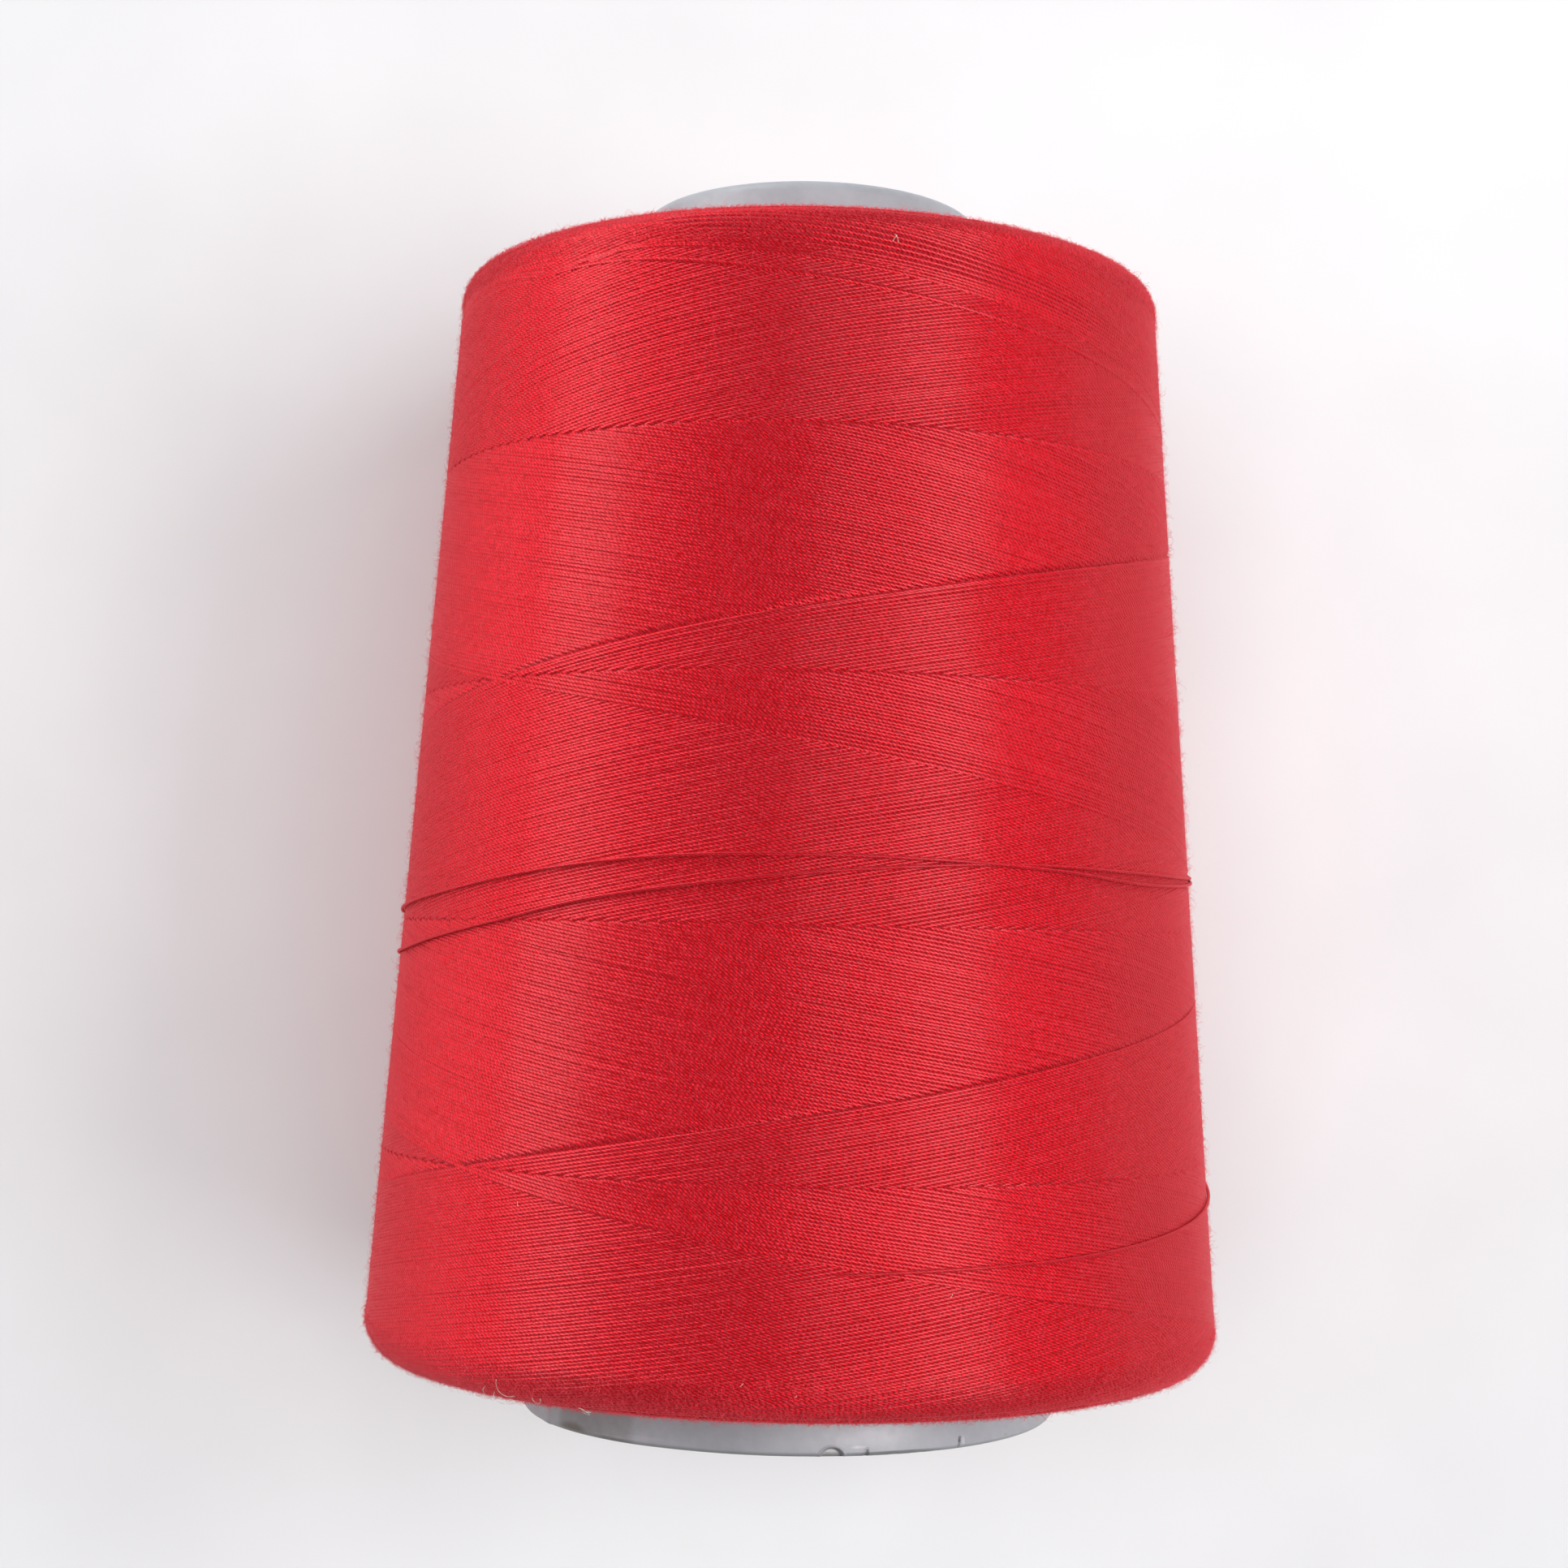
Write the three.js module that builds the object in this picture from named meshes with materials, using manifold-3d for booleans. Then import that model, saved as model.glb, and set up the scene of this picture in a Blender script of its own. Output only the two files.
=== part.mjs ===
// A cone of sewing thread: a hollow moulded cone with one thread cross-wound on it.
// Millimetres, +Z up. The origin is the centre of the cone's base, and +Z is the cone's axis,
// running from the wide base to the narrow nose, over which the thread draws off in use.

import * as THREE from 'three';
import { mergeVertices } from 'three/addons/utils/BufferGeometryUtils.js';
import Module from 'manifold-3d';

const wasm = await Module();
wasm.setup();

// ---- driving dimensions ----

const TURN = 2 * Math.PI;
const FACETS = 96;

// the moulded cone
const CONE_TAPER = THREE.MathUtils.degToRad(4 + 20 / 60);
const CONE_LENGTH = 118.7;
const CONE_BASE_RADIUS = 26;
const CONE_WALL = 1.7;
const BASE_EDGE_ROUND = 0.5;
const BASE_INNER_CHAMFER = 0.3;
const NOSE_LIP_THICKNESS = 2.6;
const NOSE_LIP_DEPTH = 3.2;
const NOSE_LIP_FLARE = 2;

// cuts in the base rim: a slit through the wall that holds the thread's end, and two worn
// gouges in its outer edge
const TAIL_SLIT = { angle: 36.5, width: 0.4, height: 1.2, lean: 14 };
const RIM_GOUGES = [
  { angle: 8.6, width: 2.1, height: 0.9, depth: 0.5 },
  { angle: 15.4, width: 0.7, height: 0.7, depth: 0.5 },
];

// the wound thread
const THREAD_START = 5.3;
const THREAD_LENGTH = 106;
const THREAD_BASE_RADIUS = 42;
const THREAD_TOP_RADIUS = 34.8;
const BASE_SHOULDER = 3.7;
const TOP_SHOULDER = 2.4;
const END_DISH = 0.8;
const THREAD_CLEARANCE = 0.3;

// ---- derived dimensions ----

const taper = Math.tan(CONE_TAPER);
const coneRadius = (z) => CONE_BASE_RADIUS - z * taper;
const boreRadius = (z) => coneRadius(z) - CONE_WALL / Math.cos(CONE_TAPER);
const threadEnd = THREAD_START + THREAD_LENGTH;
const threadTaper = (THREAD_BASE_RADIUS - THREAD_TOP_RADIUS) / THREAD_LENGTH;
const threadRadius = (z) => THREAD_BASE_RADIUS - (z - THREAD_START) * threadTaper;
const seatRadius = (z) => coneRadius(z) + THREAD_CLEARANCE / Math.cos(CONE_TAPER);

// ---- materials ----

const plasticGrey = new THREE.MeshStandardMaterial({
  color: 0xa3a4a9,
  roughness: 0.42,
  metalness: 0,
});
const threadRed = new THREE.MeshStandardMaterial({
  color: 0xcf2a38,
  roughness: 0.72,
  metalness: 0,
});

// ---- helpers ----

// Points of an elliptic arc about (r, z), with angles in quarter turns from the +r direction.
function arc(r, z, radiusR, radiusZ, fromQuarter, toQuarter, steps) {
  const points = [];
  for (let i = 0; i <= steps; i += 1) {
    const angle = (fromQuarter + ((toQuarter - fromQuarter) * i) / steps) * (TURN / 4);
    points.push(new THREE.Vector2(r + radiusR * Math.cos(angle), z + radiusZ * Math.sin(angle)));
  }
  return points;
}

// Turns a closed outline in (radius, height) about +Z.
function turned(outline) {
  const geometry = new THREE.LatheGeometry([...outline, outline[0]], FACETS);
  geometry.rotateX(TURN / 4);
  return geometry;
}

function solid(geometry) {
  const bare = geometry.clone();
  bare.deleteAttribute('normal');
  bare.deleteAttribute('uv');
  const merged = mergeVertices(bare, 1e-4);
  return new wasm.Manifold(new wasm.Mesh({
    numProp: 3,
    vertProperties: Float32Array.from(merged.attributes.position.array),
    triVerts: Uint32Array.from(merged.index.array),
  }));
}

function meshOf(name, manifold, material) {
  const result = manifold.getMesh();
  const geometry = new THREE.BufferGeometry();
  geometry.setAttribute('position', new THREE.BufferAttribute(result.vertProperties, 3));
  geometry.setIndex(new THREE.BufferAttribute(result.triVerts, 1));
  geometry.computeVertexNormals();
  const mesh = new THREE.Mesh(geometry, material);
  mesh.name = name;
  return mesh;
}

// A cutter through the base rim's wall. Angle 0 is the side facing -Y, and angles grow towards +X.
function rimCutter(geometry, degrees, lean = 0) {
  geometry.rotateY(THREE.MathUtils.degToRad(lean));
  geometry.translate(0, -CONE_BASE_RADIUS, 0);
  geometry.rotateZ(THREE.MathUtils.degToRad(degrees));
  return solid(geometry);
}

// ---- the moulded cone ----

function coneOutline() {
  const lipOuter = NOSE_LIP_THICKNESS / 2;
  const lipStart = CONE_LENGTH - lipOuter;
  const lipCentre = coneRadius(lipStart) - lipOuter;
  const lipBottom = CONE_LENGTH - NOSE_LIP_DEPTH;
  const flareEnd = lipBottom - NOSE_LIP_FLARE;
  const baseRim = arc(
    CONE_BASE_RADIUS - BASE_EDGE_ROUND,
    BASE_EDGE_ROUND,
    BASE_EDGE_ROUND,
    BASE_EDGE_ROUND,
    -1,
    0,
    4,
  );
  const noseLip = arc(lipCentre, lipStart, lipOuter, lipOuter, 0, 2, 10);
  return [
    new THREE.Vector2(boreRadius(0) + BASE_INNER_CHAMFER, 0),
    ...baseRim,
    ...noseLip,
    new THREE.Vector2(lipCentre - lipOuter, lipBottom),
    new THREE.Vector2(boreRadius(flareEnd), flareEnd),
    new THREE.Vector2(boreRadius(BASE_INNER_CHAMFER), BASE_INNER_CHAMFER),
  ];
}

function makeCone() {
  let cone = solid(turned(coneOutline()));
  const slit = new THREE.BoxGeometry(TAIL_SLIT.width, 4 * CONE_WALL, 2 * TAIL_SLIT.height);
  cone = cone.subtract(rimCutter(slit, TAIL_SLIT.angle, TAIL_SLIT.lean));
  for (const gouge of RIM_GOUGES) {
    const scoop = new THREE.CylinderGeometry(1, 1, 2 * gouge.depth, 16);
    scoop.scale(gouge.width / 2, 1, gouge.height);
    cone = cone.subtract(rimCutter(scoop, gouge.angle));
  }
  return meshOf('cone_core', cone, plasticGrey);
}

// ---- the wound thread ----

function threadOutline() {
  const baseShoulderZ = THREAD_START + BASE_SHOULDER;
  const topShoulderZ = threadEnd - TOP_SHOULDER;
  const baseShoulder = arc(
    threadRadius(baseShoulderZ) - BASE_SHOULDER,
    baseShoulderZ,
    BASE_SHOULDER,
    BASE_SHOULDER,
    -1,
    0,
    6,
  );
  const topShoulder = arc(
    threadRadius(topShoulderZ) - TOP_SHOULDER,
    topShoulderZ,
    TOP_SHOULDER,
    TOP_SHOULDER,
    0,
    1,
    6,
  );
  const innerStart = THREAD_START + END_DISH;
  const innerEnd = threadEnd - END_DISH;
  return [
    new THREE.Vector2(seatRadius(innerStart), innerStart),
    ...baseShoulder,
    ...topShoulder,
    new THREE.Vector2(seatRadius(innerEnd), innerEnd),
  ];
}

function makeThread() {
  return meshOf('wound_thread', solid(turned(threadOutline())), threadRed);
}

// ---- assembly ----

const threadCone = new THREE.Group();
threadCone.add(makeCone());
threadCone.add(makeThread());

export default threadCone;
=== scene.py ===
"""Looks for the cone of sewing thread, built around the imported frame. Blender 4.5.

Lengths in the functions below are in millimetres, and put() turns them into Blender's metres.
Angles around the cone are in degrees: 0 faces the camera (-Y), and they grow towards +X.
"""

import math

import bpy
import numpy as np
from mathutils import Matrix, Vector


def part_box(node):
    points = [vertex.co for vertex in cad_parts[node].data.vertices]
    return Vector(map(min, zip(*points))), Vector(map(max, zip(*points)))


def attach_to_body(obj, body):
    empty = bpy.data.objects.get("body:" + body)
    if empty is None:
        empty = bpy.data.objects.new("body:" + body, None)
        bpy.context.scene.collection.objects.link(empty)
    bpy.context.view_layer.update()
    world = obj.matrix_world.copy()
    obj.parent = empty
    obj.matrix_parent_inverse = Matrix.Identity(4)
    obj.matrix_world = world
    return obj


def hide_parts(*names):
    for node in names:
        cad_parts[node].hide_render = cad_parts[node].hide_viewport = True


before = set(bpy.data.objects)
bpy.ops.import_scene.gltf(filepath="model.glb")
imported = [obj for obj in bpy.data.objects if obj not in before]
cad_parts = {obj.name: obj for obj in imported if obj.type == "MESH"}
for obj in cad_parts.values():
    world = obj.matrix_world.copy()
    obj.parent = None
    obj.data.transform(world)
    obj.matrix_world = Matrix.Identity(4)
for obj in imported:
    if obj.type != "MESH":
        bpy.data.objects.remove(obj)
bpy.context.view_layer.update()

MM = 0.001
TURN = 360.0
TAU = 2 * math.pi

# ---- sizes, from the frame ----


def box_mm(node):
    low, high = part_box(node)
    return np.array(low) / MM, np.array(high) / MM


THREAD_LOW, THREAD_HIGH = box_mm("wound_thread")
CONE_HIGH = box_mm("cone_core")[1]
THREAD_START = float(THREAD_LOW[2])
THREAD_END = float(THREAD_HIGH[2])
AXIS_MIDDLE = (THREAD_START + THREAD_END) / 2
CONE_LENGTH = float(CONE_HIGH[2])
CONE_BASE_RADIUS = float(CONE_HIGH[0])

# ---- the moulded cone ----

CONE_TAPER = math.tan(math.radians(4 + 20 / 60))
CONE_WALL = 1.7
BASE_EDGE_ROUND = 0.5
BASE_INNER_CHAMFER = 0.3
NOSE_LIP_THICKNESS = 2.6
NOSE_LIP_DEPTH = 3.2
NOSE_LIP_FLARE = 2.0

# ---- the winding ----

THREAD_TAPER = 7.2 / 106
BASE_SHOULDER = 3.7
TOP_SHOULDER = 2.4
END_DISH = 0.8
# A strand's nominal width, half the height of its flattened tube, how many times wider than
# high that is, and the distance between neighbours
STRAND = 0.36
STRAND_HALF_HEIGHT = 0.12
STRAND_SPREAD = 2.35
STRAND_PITCH = 0.31
# Turns in one double traverse, degrees over which the thread turns back at a shoulder, angle of
# the newest turn at the nose, and degrees round each shoulder that the strands reach
TRAVERSE_TURNS = 2.5
TURN_ROUNDING = 28.0
NEWEST_TURN = -47.0
SHOULDER_REACH = 62.0
SHOULDER_STEPS = 40


def cone_radius(z):
    return CONE_BASE_RADIUS - z * CONE_TAPER


def thread_radius(z):
    base = THREAD_HIGH[0] + BASE_SHOULDER * THREAD_TAPER
    return base - (z - THREAD_START) * THREAD_TAPER


# ---- mesh helpers ----


def put(name, points, quads, material, smooth=True, loop_maps=None, shade=None):
    """A mesh of quads from millimetre points. loop_maps are UV maps by name, a pair a corner."""
    mesh = bpy.data.meshes.new(name)
    quads = np.asarray(quads, np.int32)
    mesh.vertices.add(len(points))
    mesh.vertices.foreach_set("co", (np.asarray(points, np.float32) * MM).ravel())
    mesh.loops.add(quads.size)
    mesh.loops.foreach_set("vertex_index", quads.ravel())
    mesh.polygons.add(len(quads))
    mesh.polygons.foreach_set("loop_start", np.arange(0, quads.size, 4, dtype=np.int32))
    mesh.update(calc_edges=True)
    mesh.polygons.foreach_set("use_smooth", np.full(len(quads), smooth))
    for map_name, values in (loop_maps or {}).items():
        layer = mesh.uv_layers.new(name=map_name)
        layer.data.foreach_set("uv", np.asarray(values, np.float32).ravel())
    if shade is not None:
        layer = mesh.attributes.new("shade", "FLOAT", "POINT")
        layer.data.foreach_set("value", np.asarray(shade, np.float32))
    mesh.validate()
    piece = bpy.data.objects.new(name, mesh)
    bpy.context.scene.collection.objects.link(piece)
    mesh.materials.append(material)
    return piece


def around(radius, angle, z):
    """Points, or directions, at an angle round the cone."""
    turn = np.radians(angle)
    return np.stack([radius * np.sin(turn), -radius * np.cos(turn), z], -1)


def lathe(outline, angles, proud=None):
    """Points and quads of a closed (radius, height) outline turned about +Z, facing outwards.

    proud(angle, height, index) moves each point away from the axis by so much.
    """
    outline = np.asarray(outline, float)
    count, n = len(angles), len(outline)
    i, j = np.meshgrid(np.arange(count), np.arange(n), indexing="ij")
    radius, height = outline[j, 0], outline[j, 1]
    if proud:
        radius = radius + proud(angles[i], height, j)
    points = around(radius, angles[i], height).reshape(-1, 3)
    near, far = i * n, ((i + 1) % count) * n
    up = (j + 1) % n
    quads = np.stack([near + j, far + j, far + up, near + up], -1).reshape(-1, 4)
    return points, quads


def arc(r, z, size, from_degrees, to_degrees, steps):
    """(radius, height) points along an arc. 0 degrees points away from the axis, 90 upwards."""
    turn = np.radians(np.linspace(from_degrees, to_degrees, steps + 1))
    return np.stack([r + size * np.cos(turn), z + size * np.sin(turn)], -1)


# ---- the winding's side, and where a strand lies on it ----


def side_outline():
    """(radius, height) along the winding's side, from one shoulder's reach to the other's."""
    low = THREAD_START + BASE_SHOULDER
    high = THREAD_END - TOP_SHOULDER
    base_r = thread_radius(low) - BASE_SHOULDER
    top_r = thread_radius(high) - TOP_SHOULDER
    base = arc(base_r, low, BASE_SHOULDER, -90, 0, SHOULDER_STEPS)
    top = arc(top_r, high, TOP_SHOULDER, 0, 90, SHOULDER_STEPS)
    return np.concatenate([base, top])


OUTLINE = side_outline()
STEPS = np.diff(OUTLINE, axis=0)
ALONG = np.concatenate([[0], np.cumsum(np.hypot(STEPS[:, 0], STEPS[:, 1]))])
SLOPES = np.gradient(OUTLINE, ALONG, axis=0)
REACH_LOW = BASE_SHOULDER * math.radians(90 - SHOULDER_REACH)
REACH_HIGH = ALONG[-1] - TOP_SHOULDER * math.radians(90 - SHOULDER_REACH)
TRAVERSE = TURN * TRAVERSE_TURNS
RISE = (REACH_HIGH - REACH_LOW) / (TRAVERSE - TURN_ROUNDING)


def on_side(along, angle, lift):
    """Points on the side at a distance along it, lifted off it, and the side's normals there."""
    radius = np.interp(along, ALONG, OUTLINE[:, 0])
    height = np.interp(along, ALONG, OUTLINE[:, 1])
    out = np.interp(along, ALONG, SLOPES[:, 1])
    up = -np.interp(along, ALONG, SLOPES[:, 0])
    size = np.hypot(out, up)
    out, up = out / size, up / size
    points = around(radius + out * lift, angle, height + up * lift)
    return points, around(out, angle, up)


def fall(x):
    """How far below its top turn a strand is, x degrees past it."""
    near = np.minimum(x, TRAVERSE - x)
    rounded = near**2 / (2 * TURN_ROUNDING)
    curve = np.where(near < TURN_ROUNDING, rounded, near - TURN_ROUNDING / 2)
    half = RISE * curve
    return np.where(x <= TRAVERSE / 2, half, REACH_HIGH - REACH_LOW - half)


def ease(t):
    """Rises smoothly from 0 to 1 as t does."""
    t = np.clip(t, 0, 1)
    return t * t * (3 - 2 * t)


# ---- tubes ----

TILE_LENGTH = 24.0
TILE_ROWS = 8
TILE_MARGIN = 0.04


def run_along(points, first, last):
    """Unit tangents of many polylines laid end to end, and the distance along each."""
    step = np.diff(points, axis=0)
    ahead = np.concatenate([step, step[-1:]])
    behind = np.concatenate([step[:1], step])
    ahead[last] = behind[last]
    behind[first] = ahead[first]
    tangents = ahead + behind
    tangents /= np.linalg.norm(tangents, axis=1)[:, None]
    length = np.concatenate([[0], np.linalg.norm(step, axis=1)])
    length[first] = 0
    run = np.cumsum(length)
    return tangents, run - np.repeat(run[first], last - first + 1)


def tubes(name, lines, sides, material, radius=STRAND_HALF_HEIGHT, spread=STRAND_SPREAD):
    """One mesh of closed tubes, flattened where they press together.

    A line is (points, normals, shade, millimetres of thread before its first point).
    """
    counts = np.array([len(line[0]) for line in lines])
    points = np.concatenate([line[0] for line in lines])
    normals = np.concatenate([line[1] for line in lines])
    shades = np.concatenate([np.broadcast_to(line[2], len(line[0])) for line in lines])
    before = np.array([line[3] for line in lines])
    return tube_mesh(
        name, points, normals, shades, counts, radius, sides, material, spread, before
    )


def tube_ends(first, last, sides):
    """Quads closing both ends of each tube. A tube of 3 sides is left open."""
    caps = [np.empty((0, 4), int)]
    for a in range(1, sides - 2, 2):
        fan = np.array([0, a, a + 1, a + 2])
        caps.append(first[:, None] * sides + fan[::-1])
        caps.append(last[:, None] * sides + fan)
    return np.concatenate(caps)


def tube_maps(run, side):
    """The strand's own UV map, and one folded into rows of one tile, for baking."""
    row = np.floor(run[:, :1] / TILE_LENGTH)
    tile_run = (run - row * TILE_LENGTH) / TILE_LENGTH
    tile_run -= np.maximum(tile_run.max(1, keepdims=True) - 1, 0)
    tile_side = (row % TILE_ROWS + TILE_MARGIN + (1 - 2 * TILE_MARGIN) * side) / TILE_ROWS
    return {"Strand": np.stack([run, side], -1), "OFBake": np.stack([tile_run, tile_side], -1)}


def tube_mesh(
    name, points, normals, shades, counts, radius, sides, material, spread=1.0, before=0
):
    """One mesh of many tubes: rings of points round each line, joined by quads."""
    last = np.cumsum(counts) - 1
    first = last - counts + 1
    tangents, run = run_along(points, first, last)
    run += np.repeat(np.broadcast_to(before, len(counts)), counts)
    sideways = np.cross(tangents, normals)
    sideways /= np.linalg.norm(sideways, axis=1)[:, None]
    normals = np.cross(sideways, tangents)
    turn = (np.arange(sides) * TAU / sides)[:, None]
    ring = np.cos(turn) * normals[:, None] + spread * np.sin(turn) * sideways[:, None]
    vertices = points[:, None] + np.reshape(radius, (-1, 1, 1)) * ring

    inner = np.ones(len(points), bool)
    inner[last] = False
    i, j = np.meshgrid(np.nonzero(inner)[0], np.arange(sides), indexing="ij")
    near, far, turned = i * sides, (i + 1) * sides, (j + 1) % sides
    walls = np.stack([near + j, near + turned, far + turned, far + j], -1).reshape(-1, 4)
    u = np.stack([run[i], run[i], run[i + 1], run[i + 1]], -1).reshape(-1, 4)
    v = np.stack([j, j + 1, j + 1, j], -1).reshape(-1, 4) / sides
    caps = tube_ends(first, last, sides)
    u = np.concatenate([u, np.repeat(run[caps[:, 0] // sides][:, None], 4, 1)])
    v = np.concatenate([v, (caps % sides) / sides])
    quads = np.concatenate([walls, caps])
    shades = np.repeat(shades, sides)
    return put(name, vertices.reshape(-1, 3), quads, material, True, tube_maps(u, v), shades)


# ---- the strands of the winding ----

rng = np.random.default_rng(20)

GAP_UNEVENNESS = 0.07
# Millimetres by which the newest turns stop short of the nose shoulder, newest first
NEWEST_SHORT = (5.2, 5.0, 4.9, 4.6, 4.5, 4.1, 3.3, 2.5, 1.8, 1.2)
SHARED_DRIFT = 0.018
OWN_DRIFT = 0.009
OWN_DRIFT_LENGTHS = (95, 41, 19)
SHORTEST_STRETCH = 2.0


def shortfall(order, slow, phase, fast):
    """Millimetres by which each pass turns short of the shoulder: two waves and some chance."""
    waves = 0.45 + 0.35 * np.sin(slow * order + phase) + 0.12 * np.sin(fast * order)
    return waves + rng.uniform(0, 0.12, len(order))


def passes():
    """For each double traverse, newest first: its age in degrees, and its two shortfalls."""
    climb = RISE * TURN
    slope = math.atan(climb / (TAU * thread_radius(AXIS_MIDDLE)))
    mean = TURN * STRAND_PITCH / (climb * math.cos(slope))
    count = round(TURN / mean)
    gaps = 1 + GAP_UNEVENNESS * rng.standard_normal(count)
    ages = np.concatenate([[0], np.cumsum(gaps)[:-1]]) * TURN / gaps.sum()
    order = np.arange(count)
    short_top = shortfall(order, 0.11, 0, 0.29)
    short_base = shortfall(order, 0.13, 2, 0.27)
    short_top[: len(NEWEST_SHORT)] = NEWEST_SHORT
    return ages, short_top, short_base


def wander(count):
    """Smooth sideways drift along a strand: shared by neighbouring passes, and some of its own."""
    own = rng.uniform(0, TURN, (count, len(OWN_DRIFT_LENGTHS)))
    shared = []
    for _ in range(6):
        shared.append((rng.uniform(0.2, 0.55), rng.uniform(0.5, 2.5), rng.uniform(0, 6)))

    def drift(k, x):
        total = 0
        for across, along, phase in shared:
            total = total + SHARED_DRIFT * np.sin(across * k + np.radians(along * x) + phase)
        for phase, length in zip(own[k], OWN_DRIFT_LENGTHS):
            total = total + OWN_DRIFT * np.sin(np.radians(TURN * x / length + phase))
        return total

    return drift


def visible_stretches(age):
    """(start, end) of each stretch on top, in degrees past the top turn, negative on the way up."""
    found = []
    half = TURN / 2
    for k in range(int(TRAVERSE / half)):
        low, high = k * half, (k + 1) * half
        found.append((-high, -(low + age / 2)))
        found.append((low, high - age / 2))
    if age == 0:
        found = [s for s in found if s[0] < 0] + [(0, TRAVERSE)]
    return [s for s in found if s[1] - s[0] > SHORTEST_STRETCH]


TOP_LIFT = -0.36 * STRAND
UNDER_LIFT = -1.05 * STRAND
LIFT_UNEVENNESS = 0.008
NEW_TURNS_PROUD = 0.08 * STRAND
NEW_TURNS = 3.5
SHADE_UNEVENNESS = 0.11
THREAD_SPARE = 1200.0

# Degrees over which a strand dives under its neighbours, is sampled closely there, is sampled
# elsewhere, and comes back from its turn's shortfall
DIVE = 3.2
SINK = 2.4
SAMPLE_STEP = 3.2
SHORT_FADE = 40.0
NEWEST_SHORT_FADE = 85.0


def thread_before(x):
    """Millimetres of thread up to x degrees past a pass's top turn, always more than 0."""
    degrees = np.linspace(0, TRAVERSE, 901)
    along = REACH_HIGH - fall(degrees)
    level = np.radians(np.diff(degrees)) * np.interp(along[1:], ALONG, OUTLINE[:, 0])
    length = np.concatenate([[0], np.cumsum(np.hypot(level, np.diff(along)))])
    return THREAD_SPARE + math.copysign(np.interp(abs(x), degrees, length), x)


def stretch_samples(start, end):
    """Angles along a stretch: close together where it dives under its neighbours, else wide."""
    near = np.linspace(-SINK, SINK, 9)
    inner_start, inner_end = start + SINK, end - SINK
    if inner_end <= inner_start:
        return np.linspace(start - SINK, end + SINK, 14)
    count = max(2, int((inner_end - inner_start) / SAMPLE_STEP) + 1)
    middle = np.linspace(inner_start, inner_end, count + 1)[1:-1]
    return np.concatenate([start + near, middle, end + near])


def winding_lines():
    """The outer strands, newest first, as lines for tubes()."""
    ages, short_top, short_base = passes()
    drift = wander(len(ages))
    twist = (ages[1] - ages[0]) / (2 * TRAVERSE)
    lines = []
    for k, age in enumerate(ages):
        fade = NEWEST_SHORT_FADE if k == 0 else SHORT_FADE
        for start, end in visible_stretches(age):
            x = stretch_samples(start, end)
            x = x[np.abs(x) <= TRAVERSE]
            far = np.abs(x)
            along = REACH_HIGH - fall(far)
            along -= short_top[k] * np.exp(-far / fade)
            along += short_base[k] * np.exp(-(TRAVERSE - far) / SHORT_FADE)
            along += drift(k, x)
            raised = ease((end - x + DIVE / 2) / DIVE)
            if start != -TRAVERSE:
                raised = ease((x - start + DIVE / 2) / DIVE) * raised
            lift = UNDER_LIFT + (TOP_LIFT - UNDER_LIFT) * raised
            lift = lift + LIFT_UNEVENNESS * rng.standard_normal()
            lift = lift + NEW_TURNS_PROUD * math.exp(-k / NEW_TURNS) * raised
            angle = NEWEST_TURN + age + x * (1 - twist)
            points, normals = on_side(along, angle, lift)
            shade = 0.5 + SHADE_UNEVENNESS * rng.standard_normal()
            shade = shade + 0.06 * np.sin(x / 9 + rng.uniform(0, 6)) + 0.05 * np.sin(x / 31 + k)
            lines.append((points, normals, shade, thread_before(x[0])))
    return lines


MESH_RINGS = 15500


def in_pieces(stem, lines, sides, material):
    """Shares lines among meshes, so that none goes over MESH_RINGS rings of points."""
    made, group, size = [], [], 0
    for line in lines:
        if size + len(line[0]) > MESH_RINGS:
            made.append(tubes(f"{stem}_{len(made) + 1}", group, sides, material))
            group, size = [], 0
        group.append(line)
        size += len(line[0])
    made.append(tubes(f"{stem}_{len(made) + 1}", group, sides, material))
    return made


# ---- slack last turns, lying proud of the winding ----

# (angle, height) along each
SLACK_UPPER = [
    (-205, 40.6), (-170, 43.4), (-140, 45.4), (-110, 47.1), (-80, 48.4), (-58, 49.8), (-36, 51.8),
    (-18, 53.0), (0, 53.3), (18, 53.1), (36, 52.5), (53, 51.7), (71, 51.9), (90, 52.9), (115, 55.2),
    (140, 58.1), (170, 61.7),
]
SLACK_LOWER = [
    (-190, 36.4), (-160, 39.6), (-130, 42.0), (-105, 43.4), (-80, 44.2), (-67, 44.9), (-44, 47.2),
    (-27, 49.4), (-4, 51.4), (13, 52.4), (30, 52.9), (50, 52.7), (70, 52.6), (88, 53.1),
    (110, 54.9), (135, 57.9),
]
STRAY_RIGHT = [
    (2, 18.0), (16, 18.4), (35, 18.9), (53, 19.8), (71, 21.1), (95, 23.6), (120, 26.6),
]
SLACK_RADIUS = 0.16
SLACK_SAMPLES = 150
SLACK_TUCK = 1.2 * STRAND
SLACK_ENDS = 0.08


def smooth_through(values, count):
    """A smooth curve through given points, sampled evenly, by Catmull-Rom spans."""
    values = np.asarray(values, float)
    padded = np.concatenate([[2 * values[0] - values[1]], values, [2 * values[-1] - values[-2]]])
    t = np.linspace(0, len(values) - 1 - 1e-9, count)
    k = t.astype(int)
    t = (t - k)[:, None]
    a, b, c, d = (padded[k + n] for n in range(4))
    square = (2 * a - 5 * b + 4 * c - d) * t**2
    cube = (3 * b - a - 3 * c + d) * t**3
    return 0.5 * (2 * b + (c - a) * t + square + cube)


def height_to_along(height):
    return np.interp(height, OUTLINE[:, 1], ALONG)


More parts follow.
